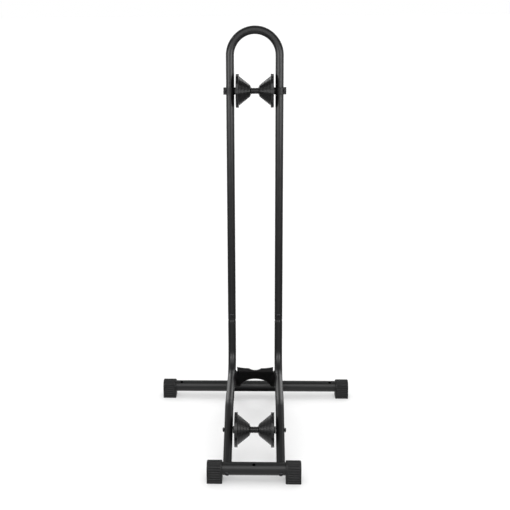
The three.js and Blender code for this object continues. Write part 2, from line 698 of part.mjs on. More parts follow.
function lowerSpacer(name, side) {
  const inner = lowerAxleAxis.clone().setX(side * hubEnd);
  const outer = lowerAxleAxis.clone().setX(side * (legX - tubeRadius - FIT));
  const over = new THREE.Vector3(side * OVERSHOOT, 0, 0);
  const bore = rod(inner.clone().sub(over), outer.clone().add(over), axleBore, TUBE_SIDES);
  return piece(name, rod(inner, outer, bossRadius, TUBE_SIDES).subtract(bore), mouldedPlastic());
}

// Upper axle: a plain rod caught between the blind seats of the two collars.
function upperAxle() {
  const half = legX - legBore - AXLE_SEAT_WALL - FIT;
  const left = upperAxleAxis.clone().setX(-half);
  const right = upperAxleAxis.clone().setX(half);
  return piece('upper_axle', rod(left, right, axleRadius, TUBE_SIDES), platedSteel());
}

// Clamp collar: a ring on the hoop's leg, with a boss for the axle and two ears that a screw draws together.
function upperCollar(name, side) {
  const centre = upperAxleAxis.clone().setX(side * legX);
  const half = COLLAR_HEIGHT / 2;
  const top = centre.clone().addScaledVector(UP, half);
  const bottom = centre.clone().addScaledVector(DOWN, half);
  const at = (out, y, z) => new THREE.Vector3(centre.x + side * out, centre.y + y, centre.z + z);
  const block = (outFrom, outTo, depth, height) => {
    const a = at(outFrom, -depth / 2, -height / 2);
    const b = at(outTo, depth / 2, height / 2);
    return box(a.clone().min(b), a.clone().max(b));
  };
  const over = 2 * OVERSHOOT;
  const above = top.clone().addScaledVector(UP, over);
  const below = bottom.clone().addScaledVector(DOWN, over);
  const bossEnd = hubEnd - legX;
  let solid = rod(bottom, top, collarRadius, TUBE_SIDES);
  solid = solid.add(block(0, EAR_REACH, EAR_DEPTH, COLLAR_HEIGHT));
  solid = solid.add(rod(centre, at(bossEnd, 0, 0), bossRadius, TUBE_SIDES));
  solid = solid.subtract(rod(below, above, legBore, TUBE_SIDES));
  solid = solid.subtract(block(0, EAR_REACH + over, EAR_SLOT, COLLAR_HEIGHT + over));
  const seatFrom = at(-legBore - AXLE_SEAT_WALL, 0, 0);
  solid = solid.subtract(rod(seatFrom, at(bossEnd - over, 0, 0), axleBore, TUBE_SIDES));
  const holeRadius = CLAMP_SCREW_DIAMETER / 2 + FIT;
  const holeFront = at(CLAMP_SCREW_OFFSET, -EAR_DEPTH, 0);
  const holeBack = at(CLAMP_SCREW_OFFSET, EAR_DEPTH, 0);
  solid = solid.subtract(rod(holeFront, holeBack, holeRadius));
  return piece(name, solid, mouldedPlastic());
}

// Socket-head screw through the ears, from the front.
function clampScrew(name, side) {
  const seat = upperAxleAxis.clone().setX(side * (legX + CLAMP_SCREW_OFFSET));
  seat.addScaledVector(FRONT, EAR_DEPTH / 2 + FIT);
  const shank = EAR_DEPTH + 2 * FIT + CLAMP_NUT_HEIGHT + CLAMP_SCREW_DIAMETER / 2;
  const radius = CLAMP_SCREW_DIAMETER / 2;
  const head = CLAMP_HEAD_DIAMETER / 2;
  const profile = [
    [-shank, 0],
    [-shank, radius],
    [0, radius],
    [0, head],
    [CLAMP_HEAD_HEIGHT - CLAMP_HEAD_CHAMFER, head],
    [CLAMP_HEAD_HEIGHT, head - CLAMP_HEAD_CHAMFER],
    [CLAMP_HEAD_HEIGHT, 0],
  ];
  const socketFrom = seat.clone().addScaledVector(FRONT, CLAMP_HEAD_HEIGHT - CLAMP_SOCKET_DEPTH);
  const socketTo = seat.clone().addScaledVector(FRONT, CLAMP_HEAD_HEIGHT + OVERSHOOT);
  const socket = rod(socketFrom, socketTo, CLAMP_SOCKET_WIDTH / Math.sqrt(3), 6);
  return piece(name, turned(profile, seat, FRONT, SCREW_SIDES).subtract(socket), blackenedSteel());
}

function clampNut(name, side) {
  const near = upperAxleAxis.clone().setX(side * (legX + CLAMP_SCREW_OFFSET));
  near.addScaledVector(BACK, EAR_DEPTH / 2 + FIT);
  const far = near.clone().addScaledVector(BACK, CLAMP_NUT_HEIGHT);
  const body = rod(near, far, CLAMP_NUT_WIDTH / Math.sqrt(3), 6);
  const bore = rod(near.clone().add(FRONT), far.clone().add(BACK), CLAMP_SCREW_DIAMETER / 2 + FIT);
  return piece(name, body.subtract(bore), platedSteel());
}

function roller(prefix, centre) {
  const group = new THREE.Group();
  group.add(rollerSleeve(`${prefix}_roller_sleeve`, centre));
  group.add(rollerCone(`${prefix}_roller_cone_left`, centre, -1));
  group.add(rollerCone(`${prefix}_roller_cone_right`, centre, 1));
  return group;
}

// Assembly
const base = new THREE.Group();
base.add(frontBar(), rearBar(), cradleBracket(), lowerAxle(), hoopTube());

const carriage = new THREE.Group();
carriage.add(upperAxle(), roller('upper', upperAxleAxis));

for (const [sideName, side] of [['left', -1], ['right', 1]]) {
  base.add(sideTube(`lower_tube_${sideName}`, side));
  base.add(foot(`foot_front_${sideName}`, frontBarAxis, FRONT_SPAN, side));
  base.add(foot(`foot_rear_${sideName}`, rearBarAxis, REAR_SPAN, side));
  base.add(jointPlug(`joint_plug_${sideName}`, side));
  base.add(jointScrew(`joint_screw_${sideName}`, side));
  base.add(tubeEndPlug(`tube_end_plug_${sideName}`, side));
  base.add(frontBarBolt(`front_bar_bolt_${sideName}`, side));
  base.add(lowerAxleScrew(`lower_axle_screw_${sideName}`, side));
  base.add(lowerSpacer(`lower_spacer_${sideName}`, side));
  carriage.add(upperCollar(`upper_collar_${sideName}`, side));
  carriage.add(clampScrew(`upper_clamp_screw_${sideName}`, side));
  carriage.add(clampNut(`upper_clamp_nut_${sideName}`, side));
}
base.add(roller('lower', lowerAxleAxis));

// The origin is on the floor under the middle of the base.
const rack = new THREE.Group();
rack.add(base, carriage);
rack.position.y = (FRONT_REACH - REAR_REACH) / 2;

export default rack;
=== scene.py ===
"""Looks of the floor bike rack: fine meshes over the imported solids, materials, camera and studio light.

Lengths of the rack are in millimetres and become metres where a mesh is built. The studio's are in metres.
The frame is the solids': +X right, -Y towards the side that the wheel rolls in from, +Z up, floor at z = 0.
"""

import json
import math

import bmesh
import bpy
from mathutils import Matrix, Vector


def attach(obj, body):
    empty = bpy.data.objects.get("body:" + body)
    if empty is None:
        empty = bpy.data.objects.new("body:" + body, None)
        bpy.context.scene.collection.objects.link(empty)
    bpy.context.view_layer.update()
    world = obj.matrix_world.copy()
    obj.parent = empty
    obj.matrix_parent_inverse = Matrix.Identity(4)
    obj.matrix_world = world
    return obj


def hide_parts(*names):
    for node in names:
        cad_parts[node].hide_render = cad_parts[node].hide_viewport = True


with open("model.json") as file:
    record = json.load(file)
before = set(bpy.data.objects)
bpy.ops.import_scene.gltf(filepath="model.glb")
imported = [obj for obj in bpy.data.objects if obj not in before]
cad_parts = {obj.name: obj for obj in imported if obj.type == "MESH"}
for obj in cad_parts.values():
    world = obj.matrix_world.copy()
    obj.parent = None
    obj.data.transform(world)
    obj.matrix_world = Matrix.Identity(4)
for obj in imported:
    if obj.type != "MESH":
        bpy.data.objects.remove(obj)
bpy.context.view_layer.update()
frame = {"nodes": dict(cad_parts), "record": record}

MM = 0.001

# Sizes shared with the solids
PLANE_Y = 145.4  # plane of the hoop
TUBE_R = 9.5
TUBE_BORE = 8.0
BAR_R = 14.0
BAR_BORE = 12.0
FIT = 0.3
LEG_X = 57.0
CROWN_Z = 871.3  # where the legs end and the crown starts
JOINT_Z = 236.5  # lower end of the hoop's legs
RUN_Z = 106.0  # axis of the side tubes' level runs
BEND_R = 57.0
SLOPE = math.radians(27)
BAR_Z = 27.0
FRONT_REACH = 375.0
REAR_REACH = 84.2
FRONT_SPAN = 200.5
REAR_SPAN = 477.0
FOOT_END_WALL = 6.0
LOWER_AXLE_ALONG = 103.0  # up the slope, from the axis of the front bar
UPPER_Z = 791.0
BESIDE_ROLLER = 35.4  # from the middle, where the bosses and spacers beside a roller end

X = Vector((1, 0, 0))
Y = Vector((0, 1, 0))
Z = Vector((0, 0, 1))
FRONT = Vector((0, -1, 0))
DOWN_SLOPE = Vector((0, -math.cos(SLOPE), -math.sin(SLOPE)))
SLOPE_NORMAL = Vector((0, -math.sin(SLOPE), math.cos(SLOPE)))
FRONT_BAR = Vector((0, PLANE_Y - FRONT_REACH, BAR_Z))
REAR_BAR = Vector((0, PLANE_Y + REAR_REACH, BAR_Z))
LOWER_AXLE = FRONT_BAR - DOWN_SLOPE * LOWER_AXLE_ALONG
UPPER_AXLE = Vector((0, PLANE_Y, UPPER_Z))
SIDES = ((-1, "left"), (1, "right"))


# ---------------------------------------------------------------- materials

DRIFT = 0.12  # share by which colour and roughness drift over the surface
DRIFT_SCALE = 22.0  # per metre
DRIFT_DETAIL = 4.0
DRIFT_BAND = (0.3, 0.7)  # part of the noise over which the colour changes


def material(
    name,
    color,
    roughness,
    grain_scale,
    grain_height,
    grain_detail=2.0,
    grain_stretch=(1, 1, 1),
    metallic=0.0,
    specular=0.5,
):
    """A Principled material whose colour and roughness drift a little, with a fine grain as relief.

    The grain's scale is per metre, and its height is in metres.
    """
    mat = bpy.data.materials.new(name)
    mat.use_nodes = True
    nodes, links = mat.node_tree.nodes, mat.node_tree.links
    shader = nodes["Principled BSDF"]
    shader.inputs["Metallic"].default_value = metallic
    shader.inputs["Specular IOR Level"].default_value = specular
    place = nodes.new("ShaderNodeTexCoord")

    drift = nodes.new("ShaderNodeTexNoise")
    drift.inputs["Scale"].default_value = DRIFT_SCALE
    drift.inputs["Detail"].default_value = DRIFT_DETAIL
    links.new(place.outputs["Object"], drift.inputs["Vector"])
    tint = nodes.new("ShaderNodeValToRGB")
    for element, position, share in zip(tint.color_ramp.elements, DRIFT_BAND, (1 - DRIFT, 1 + DRIFT)):
        element.position = position
        element.color = (*[c * share for c in color], 1)
    links.new(drift.outputs["Fac"], tint.inputs["Fac"])
    links.new(tint.outputs["Color"], shader.inputs["Base Color"])
    rough = nodes.new("ShaderNodeMapRange")
    rough.inputs["To Min"].default_value = roughness * (1 - DRIFT)
    rough.inputs["To Max"].default_value = roughness * (1 + DRIFT)
    links.new(drift.outputs["Fac"], rough.inputs["Value"])
    links.new(rough.outputs["Result"], shader.inputs["Roughness"])

    mapping = nodes.new("ShaderNodeMapping")
    mapping.inputs["Scale"].default_value = grain_stretch
    links.new(place.outputs["Object"], mapping.inputs["Vector"])
    grain = nodes.new("ShaderNodeTexNoise")
    grain.inputs["Scale"].default_value = grain_scale
    grain.inputs["Detail"].default_value = grain_detail
    links.new(mapping.outputs["Vector"], grain.inputs["Vector"])
    bump = nodes.new("ShaderNodeBump")
    bump.inputs["Strength"].default_value = 1.0
    bump.inputs["Distance"].default_value = grain_height
    links.new(grain.outputs["Fac"], bump.inputs["Height"])
    links.new(bump.outputs["Normal"], shader.inputs["Normal"])
    return mat


SLOTS = {
    "frame_paint": material(
        "powder_coat",
        (0.007, 0.007, 0.0073),
        roughness=0.31,
        grain_scale=650.0,
        grain_height=0.00006,
        grain_detail=3.0,
        specular=0.33,
    ),
    "foot_plastic": material(
        "foot_plastic",
        (0.009, 0.009, 0.0093),
        roughness=0.5,
        grain_scale=1800.0,
        grain_height=0.0001,
        specular=0.22,
    ),
    "roller_plastic": material(
        "roller_plastic",
        (0.004, 0.004, 0.0043),
        roughness=0.2,
        grain_scale=260.0,
        grain_height=0.00003,
        specular=0.36,
    ),
    "collar_plastic": material(
        "collar_plastic",
        (0.006, 0.006, 0.0063),
        roughness=0.4,
        grain_scale=1500.0,
        grain_height=0.00005,
        specular=0.28,
    ),
    "black_steel": material(
        "black_steel",
        (0.03, 0.03, 0.032),
        roughness=0.35,
        grain_scale=900.0,
        grain_height=0.00003,
        metallic=0.9,
    ),
    "plain_steel": material(
        "plain_steel",
        (0.6, 0.61, 0.62),
        roughness=0.32,
        grain_scale=500.0,
        grain_height=0.00003,
        grain_stretch=(1, 12, 12),
        metallic=1.0,
    ),
}
NODE_SLOT = {row["node"]: row["material_slot"] for row in frame["record"]["subparts"]}
NODE_BODY = {}
for body, names in frame["record"]["behaviour"]["bodies"].items():
    for node_name in names:
        NODE_BODY[node_name] = body


# ---------------------------------------------------------------- mesh helpers

MERGE = 1e-6  # metres: points closer than this are one
SHARP_ANGLE = 32  # degrees
BEVEL_SEGMENTS = 2
NEARLY_UPRIGHT = 0.9  # z of a unit vector that is too close to Z to be crossed with it
AXIS_R = 1e-4  # radius that stands for a point on the axis of a turned skin
CORNER_STEPS = 4
CORNER_SHARE = 0.45  # of an edge, the most that the rounding of a corner takes


def mesh_from(name, points, faces):
    """A mesh from points in millimetres."""
    mesh = bpy.data.meshes.new(name)
    mesh.from_pydata([tuple(p * MM) for p in points], [], faces)
    mesh.validate()
    return mesh


def loft(rings, wrap=False, capped=False):
    """Points and faces of a skin over equal rings of points."""
    count = len(rings[0])
    points = [p for ring_points in rings for p in ring_points]
    faces = []
    pairs = list(range(len(rings) - 1)) + ([len(rings) - 1] if wrap else [])
    for i in pairs:
        j = (i + 1) % len(rings)
        for k in range(count):
            m = (k + 1) % count
            faces.append((i * count + k, i * count + m, j * count + m, j * count + k))
    if capped:
        faces.append(tuple(reversed(range(count))))
        faces.append(tuple((len(rings) - 1) * count + k for k in range(count)))
    return points, faces


def face_outwards(mesh, merge=False):
    """Turns a mesh's normals outwards, after merging points that coincide if asked to."""
    work = bmesh.new()
    work.from_mesh(mesh)
    if merge:
        bmesh.ops.remove_doubles(work, verts=work.verts, dist=MERGE)
    bmesh.ops.recalc_face_normals(work, faces=work.faces)
    work.to_mesh(mesh)
    work.free()


def piece(name, parts, nodes, angle=SHARP_ANGLE):
    """One object from lofted parts. It stands for its nodes, rides on their body and takes their material."""
    points, faces = [], []
    for part_points, part_faces in parts:
        start = len(points)
        points.extend(part_points)
        faces.extend(tuple(i + start for i in f) for f in part_faces)
    obj = bpy.data.objects.new(name, mesh_from(name, points, faces))
    bpy.context.scene.collection.objects.link(obj)
    dress(obj, nodes, angle)


def dress(obj, nodes, angle=SHARP_ANGLE, bevel=0.0, slot=None, body=None):
    """Shades an object, rounds its sharp edges if asked to, gives its material and ties it to the frame."""
    mesh = obj.data
    face_outwards(mesh, merge=True)
    mesh.polygons.foreach_set("use_smooth", [True] * len(mesh.polygons))
    if bevel:
        rounding = obj.modifiers.new("rounding", "BEVEL")
        rounding.width = bevel * MM
        rounding.segments = BEVEL_SEGMENTS
        rounding.limit_method = "ANGLE"
        rounding.angle_limit = math.radians(angle)
        rounding.harden_normals = True
        bake_modifiers(obj)
        mesh = obj.data
    else:
        mesh.set_sharp_from_angle(angle=math.radians(angle))
    slot = slot or NODE_SLOT[nodes[0]]
    mesh.materials.clear()
    mesh.materials.append(SLOTS[slot])
    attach(obj, body or NODE_BODY[nodes[0]])
    if nodes:
        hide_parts(*nodes)


def bake_modifiers(obj):
    """Applies the object's modifiers to its mesh."""
    graph = bpy.context.evaluated_depsgraph_get()
    graph.update()
    made = bpy.data.meshes.new_from_object(obj.evaluated_get(graph), depsgraph=graph)
    obj.modifiers.clear()
    old, obj.data = obj.data, made
    made.name = obj.name
    bpy.data.meshes.remove(old)


def raw(name, part):
    """An undressed object from one lofted part, to cut or to cut with."""
    obj = bpy.data.objects.new(name, mesh_from(name, *part))
    bpy.context.scene.collection.objects.link(obj)
    face_outwards(obj.data)
    return obj


def cut(obj, cutters):
    """Cuts the cutters out of an object and removes them."""
    for cutter in cutters:
        change = obj.modifiers.new("cut", "BOOLEAN")
        change.operation = "DIFFERENCE"
        change.solver = "EXACT"
        change.object = cutter
    bake_modifiers(obj)
    for cutter in cutters:
        bpy.data.objects.remove(cutter)


def basis_for(direction):
    """Two unit vectors square to a direction and to each other."""
    direction = direction.normalized()
    side = direction.cross(Z if abs(direction.z) < NEARLY_UPRIGHT else X).normalized()
    return side, side.cross(direction).normalized()


def ring(centre, direction, radius, sides):
    side, up = basis_for(direction)
    return [
        centre + (side * math.cos(t) + up * math.sin(t)) * radius
        for t in (2 * math.pi * k / sides for k in range(sides))
    ]


def rod(start, end, radius, sides=48):
    """A closed round rod between two points."""
    along = end - start
    return loft([ring(start, along, radius, sides), ring(end, along, radius, sides)], capped=True)


def turned(origin, direction, profile, sides=64, wrap=True):
    """A turned skin over a profile of (distance along, radius). A radius of 0 closes it on its axis."""
    direction = direction.normalized()
    rings = []
    for along, radius in profile:
        rings.append(ring(origin + direction * along, direction, max(radius, AXIS_R), sides))
    return loft(rings, wrap=wrap)


def rounded(profile, radius):
    """Rounds each corner of a closed profile of 2D points."""
    out = []
    count = len(profile)
    for i in range(count):
        before, here, after = (Vector(profile[(i + k) % count]) for k in (-1, 0, 1))
        first, second = before - here, after - here
        reach = min(radius, first.length * CORNER_SHARE, second.length * CORNER_SHARE)
        start, end = here + first.normalized() * reach, here + second.normalized() * reach
        for k in range(CORNER_STEPS + 1):
            t = k / CORNER_STEPS
            out.append(start * (1 - t) ** 2 + here * 2 * t * (1 - t) + end * t**2)
    return [tuple(p) for p in out]


def prism(outline, origin, first, second, depth_axis, low, high):
    """A prism over a 2D outline in the plane of first and second."""
    rings = []
    for depth in (low, high):
        rings.append([origin + first * p[0] + second * p[1] + depth_axis * depth for p in outline])
    return loft(rings, capped=True)


# ---------------------------------------------------------------- tubes and bars

EDGE = 0.4  # broken edge at the end of a tube
TUBE_SIDES = 56
LEG_STEPS = 13
CROWN_STEP = 3.0  # degrees
BEND_STEP = 4.0  # degrees
STRETCH_STEPS = 5  # rings along each straight stretch of a side tube
SPIGOT_R = TUBE_BORE - FIT
SPIGOT_LENGTH = 38.0
SPIGOT_WALL = 1.5
SWAGE_DROP = 6.0  # height of the swaged neck under the hoop's leg
SWAGE = (  # (height above the seat, radius), from the end of the spigot down to the full tube
    (SPIGOT_LENGTH, SPIGOT_R - 0.8),
    (36.8, SPIGOT_R),
    (0.02, SPIGOT_R),
    (0.0, 8.3),
    (-0.5, 8.6),
    (-2.0, 9.05),
    (-3.6, 9.32),
    (-5.0, 9.46),
)
COPE_MARGIN = 4.0  # from the last square ring to the bar
BAR_SIDES = 96
HOLE_R = 3.5  # accessory holes
HOLE_SIDES = 32
REAR_HOLE_INSET = 47.5  # from the outer end of the foot
SPOT_FACE = 13.2  # from the axis of the bar
SPOT_FACE_R = 5.55
SPOT_FACE_SIDES = 40
PAST_WALL = 28.0  # from the axis of the bar, where its cutters end
ON_SURFACE = 0.05  # how far a corner may lie from the bar's radius and still be on its outside
FACES_ALONG = 0.1  # largest x of the normal of a face that runs along the bar


def arc(centre, start, towards, radius, angle, step):
    """Stations (point, tangent) of an arc from one unit vector towards another, with a step in degrees."""
    count = max(2, math.ceil(math.degrees(angle) / step))
    stations = []
    for i in range(count + 1):
        turn = angle * i / count
        out = start * math.cos(turn) + towards * math.sin(turn)
        stations.append((centre + out * radius, towards * math.cos(turn) - start * math.sin(turn)))
    return stations


def tube_ring(point, tangent, flat, radius):
    """A ring square to the tangent of a path that lies in the plane square to flat."""
    out = tangent.cross(flat).normalized()
    return [
        point + (flat * math.cos(t) + out * math.sin(t)) * radius
        for t in (2 * math.pi * k / TUBE_SIDES for k in range(TUBE_SIDES))
    ]


def hoop():
    legs = [JOINT_Z + (CROWN_Z - JOINT_Z) * k / LEG_STEPS for k in range(LEG_STEPS)]
    stations = [(Vector((LEG_X, PLANE_Y, height)), Z) for height in legs]
    stations += arc(Vector((0, PLANE_Y, CROWN_Z)), X, Z, LEG_X, math.pi, CROWN_STEP)
    stations += [(Vector((-LEG_X, PLANE_Y, height)), -Z) for height in reversed(legs)]
    outer = [tube_ring(p, t, Y, TUBE_R) for p, t in stations]
    inner = [tube_ring(p, t, Y, TUBE_BORE) for p, t in stations]
    first, first_tangent = stations[0]
    last, last_tangent = stations[-1]
    outer[0] = tube_ring(first, first_tangent, Y, TUBE_R - EDGE)
    outer.insert(1, tube_ring(first + Z * EDGE, first_tangent, Y, TUBE_R))
    outer[-1] = tube_ring(last + Z * EDGE, last_tangent, Y, TUBE_R)
    outer.append(tube_ring(last, last_tangent, Y, TUBE_R - EDGE))
    piece("hoop_tube_fine", [loft(outer + inner[::-1], wrap=True)], ["hoop_tube"], angle=40)


def side_tube(side, label):
    x = side * LEG_X
    seat = JOINT_Z - FIT
    swage_end = seat - SWAGE_DROP
    top = Vector((x, PLANE_Y, 0))
    corner = FRONT_REACH - (RUN_Z - BAR_Z) / math.tan(SLOPE)
    second = corner - BEND_R * math.tan(SLOPE / 2)
    first_centre = Vector((x, PLANE_Y - BEND_R, RUN_Z + BEND_R))
    second_centre = Vector((x, PLANE_Y - second, RUN_Z - BEND_R))
    stations = []
    for k in range(STRETCH_STEPS):
        height = swage_end - (swage_end - RUN_Z - BEND_R) * k / STRETCH_STEPS
        stations.append((top + Z * height, -Z))
    stations += arc(first_centre, Y, -Z, BEND_R, math.pi / 2, BEND_STEP)
    stations += arc(second_centre, Z, FRONT, BEND_R, SLOPE, BEND_STEP)
    end = FRONT_BAR.copy()
    end.x = x
    slope_start = stations[-1][0]
    length = (end - slope_start).length - BAR_R - COPE_MARGIN
    for k in range(1, STRETCH_STEPS + 1):
        stations.append((slope_start + DOWN_SLOPE * length * k / STRETCH_STEPS, DOWN_SLOPE))

    def coped(radius):
        """The tube's last ring, laid on the round of the bar."""
        points = []
        for p in tube_ring(end, DOWN_SLOPE, X, radius):
            offset = (p - end).dot(SLOPE_NORMAL)
            points.append(p - DOWN_SLOPE * math.sqrt((BAR_R + FIT) ** 2 - offset**2))
        return points

    outer = [tube_ring(top + Z * (seat + height), -Z, X, radius) for height, radius in SWAGE]
    outer += [tube_ring(p, t, X, TUBE_R) for p, t in stations] + [coped(TUBE_R)]
    inner = [coped(TUBE_BORE)] + [tube_ring(p, t, X, TUBE_BORE) for p, t in reversed(stations)]
    for height in (swage_end, seat + SPIGOT_LENGTH):
        inner.append(tube_ring(top + Z * height, -Z, X, SPIGOT_R - SPIGOT_WALL))
    piece(f"lower_tube_{label}_fine", [loft(outer + inner, wrap=True)], [f"lower_tube_{label}"], angle=40)


def round_normals(obj, axis_point, radius):
    """Gives the faces that lie on a bar's outside the normals of a true cylinder along X."""
    mesh = obj.data
    normals = [tuple(n.vector) for n in mesh.corner_normals]
    for face in mesh.polygons:
        rays = []
        for loop in face.loop_indices:
            p = mesh.vertices[mesh.loops[loop].vertex_index].co / MM
            rays.append(Vector((0, p.y - axis_point.y, p.z - axis_point.z)))
        on_outside = all(abs(r.length - radius) < ON_SURFACE for r in rays)
        if on_outside and abs(face.normal.x) < FACES_ALONG:
            for loop, r in zip(face.loop_indices, rays):
                normals[loop] = tuple(r.normalized())
    mesh.normals_split_custom_set(normals)


def bar(name, axis, span, cutters):
    half = span / 2 - FOOT_END_WALL - FIT
    profile = [(-half, BAR_BORE), (-half, BAR_R - EDGE), (-half + EDGE, BAR_R)]
    profile += [(half - EDGE, BAR_R), (half, BAR_R - EDGE), (half, BAR_BORE)]
    obj = raw(f"{name}_fine", turned(axis, X, profile, BAR_SIDES))
    cut(obj, cutters)
    dress(obj, [name], angle=35)
    round_normals(obj, axis, BAR_R)


def hole_cutter(centre):
    return raw("cutter", rod(centre, centre + SLOPE_NORMAL * PAST_WALL, HOLE_R, HOLE_SIDES))


def bars():
    cutters = [hole_cutter(FRONT_BAR)]
    for side, _ in SIDES:
        centre = FRONT_BAR + X * side * LEG_X
        start, end = centre + DOWN_SLOPE * SPOT_FACE, centre + DOWN_SLOPE * PAST_WALL
        cutters.append(raw("cutter", rod(start, end, SPOT_FACE_R, SPOT_FACE_SIDES)))
    bar("front_bar", FRONT_BAR, FRONT_SPAN, cutters)
    hole_x = REAR_SPAN / 2 - REAR_HOLE_INSET
    bar("rear_bar", REAR_BAR, REAR_SPAN, [hole_cutter(REAR_BAR + X * side * hole_x) for side, _ in SIDES])


# ---------------------------------------------------------------- cradle plate

PLATE_T = 3.0
PLATE_HALF = 58.0
FOLD = Vector((PLANE_Y - 40.0, 116.0))  # (y, z) of the lower face's fold
FOLD_INNER_R = 2.2
FOLD_STEPS = 8
SEAT_ANGLE = math.radians(19)
PLATE_SEAT = Vector((REAR_BAR.y, BAR_Z)) + Vector((-math.cos(SEAT_ANGLE), math.sin(SEAT_ANGLE))) * BAR_R
DOWN_PLATE = (PLATE_SEAT - FOLD).normalized()
LIP_LEAN = math.radians(27.7)
UP_LIP = Vector((-math.sin(LIP_LEAN), math.cos(LIP_LEAN)))
LIP_HALF = 43.8
LIP_STEPS = 10
EAR_T = 13.2  # height of the lip at its outer ends
SHOULDER_T = 8.4  # height of the lip beside the notch
NOTCH_HALF = 14.6
NOTCH_DEPTH = 6.6
LIP_SPARE = 2.0  # of the sheet over the lip's ears, cut off again
LEG_SPARE = 7.0  # of the sheet past its seat on the bar, cut off again
RELIEF_DROP = 2.2  # corner reliefs under the fold
PLATE_NECK_LENGTH = 26.0  # stretch of the plate between the side tubes
PLATE_NECK_HALF = 47.2
ARCH_HALF = 40.0
ARCH_TOP = 69.0  # from the fold, down the plate
ARCH_STEPS = 72
CUT_X = 90.0  # past the plate's sides
CUT_LIP = 40.0  # past the lip's top
CUT_DEPTH = 9.0  # past both faces of the plate
CUT_Y = (-40.0, 150.0)
CUT_Z = 200.0

WELD_STEP = 0.5
WELD_SIDES = 14
RIPPLE = 0.12  # share by which a bead swells and shrinks
RIPPLE_PITCH = 1.7
WANDER = 0.1
WANDER_RATE = 1.3
BEAD_END = 0.45  # share of a bead's radius at its ends
BEAD_GROWTH = 0.2  # share that it gains with each step
TUBE_WELD_R = 1.5
TUBE_WELD_FROM, TUBE_WELD_TO = 4.0, 25.0  # from the fold, down the plate
WELD_PROUD = 0.15  # of a bead's axis over a face of the plate
BAR_WELD_R = 1.6
BAR_WELD_X = (41.5, 57.5)
BAR_WELD_LIFT = 0.5  # of a bead's axis over the bar
OVER_ANGLE = math.radians(14)  # round the bar, from the bead under the plate to the one over it


def at(flat_point, x=0.0):
    """A point or direction in space from its (y, z)."""
    return Vector((x, flat_point.x, flat_point.y))


def bent_profile():
    """Closed side view of the folded plate, with the fold rounded on both sides."""
    plate_back = Vector((-DOWN_PLATE.y, DOWN_PLATE.x))
    lip_back = Vector((UP_LIP.y, -UP_LIP.x))
    turn = math.acos(plate_back.dot(lip_back))
    front_radius = FOLD_INNER_R + PLATE_T
    setback = front_radius * math.tan(turn / 2)
    centre = FOLD + UP_LIP * setback + lip_back * front_radius
    start = FOLD + UP_LIP * setback - centre
    front, back = [], []
    for k in range(FOLD_STEPS + 1):
        angle = turn * k / FOLD_STEPS
        cos, sin = math.cos(angle), math.sin(angle)
        spun = Vector((start.x * cos - start.y * sin, start.x * sin + start.y * cos))
        front.append(centre + spun)
        back.append(centre + spun.normalized() * FOLD_INNER_R)
    lip_top = FOLD + UP_LIP * (EAR_T + LIP_SPARE)
    leg_end = PLATE_SEAT + DOWN_PLATE * LEG_SPARE
    outline = [lip_top] + front + [leg_end, leg_end + plate_back * PLATE_T] + back[::-1]
    return outline + [lip_top + lip_back * PLATE_T]


def lip_edge():
    """Upper edge of the lip as (x, height) from left to right: ear, notch, ear."""
    radius = (NOTCH_HALF**2 + NOTCH_DEPTH**2) / (2 * NOTCH_DEPTH)
    half_angle = math.asin(NOTCH_HALF / radius)
    right = []
    for i in range(LIP_STEPS + 1):
        angle = half_angle * i / LIP_STEPS
        right.append((radius * math.sin(angle), SHOULDER_T - NOTCH_DEPTH + radius * (1 - math.cos(angle))))
    for i in range(1, LIP_STEPS + 1):
        share = i / LIP_STEPS
        x = NOTCH_HALF + (LIP_HALF - NOTCH_HALF) * share
        right.append((x, SHOULDER_T + (EAR_T - SHOULDER_T) * share**2))
    return [(-x, t) for x, t in right[:0:-1]] + right


def cradle():
    outline = [(p.x, p.y) for p in bent_profile()]
    sheet = raw("cradle_bracket_fine", prism(outline, Vector(), Y, Z, X, -PLATE_HALF, PLATE_HALF))
    lip_dir, plate_dir = at(UP_LIP), at(DOWN_PLATE)
    waste = lip_edge() + [(CUT_X, EAR_T), (CUT_X, CUT_LIP), (-CUT_X, CUT_LIP), (-CUT_X, EAR_T)]
    cutters = [raw("cutter", prism(waste, at(FOLD), X, lip_dir, X.cross(lip_dir), -CUT_DEPTH, CUT_DEPTH))]
    length = (PLATE_SEAT - FOLD).length + BAR_R
    arch = []
    for k in range(ARCH_STEPS):
        t = 2 * math.pi * k / ARCH_STEPS
        arch.append((ARCH_HALF * math.cos(t), length + (length - ARCH_TOP) * math.sin(t)))
    through_plate = X.cross(plate_dir)
    cutters.append(raw("cutter", prism(arch, at(FOLD), X, plate_dir, through_plate, -CUT_DEPTH, CUT_DEPTH)))
    neck_z = FOLD.y + PLATE_NECK_LENGTH * DOWN_PLATE.y
    for side, _ in SIDES:
        for half, low in ((LIP_HALF, FOLD.y - RELIEF_DROP), (PLATE_NECK_HALF, neck_z)):
            box = [(CUT_Y[0], low), (CUT_Y[1], low), (CUT_Y[1], CUT_Z), (CUT_Y[0], CUT_Z)]
            span = sorted((side * half, side * CUT_X))
            cutters.append(raw("cutter", prism(box, Vector(), Y, Z, X, *span)))
    cutters.append(raw("cutter", rod(REAR_BAR - X * CUT_X, REAR_BAR + X * CUT_X, BAR_R + FIT, BAR_SIDES)))
    cut(sheet, cutters)
    dress(sheet, ["cradle_bracket"], angle=28, bevel=0.45)


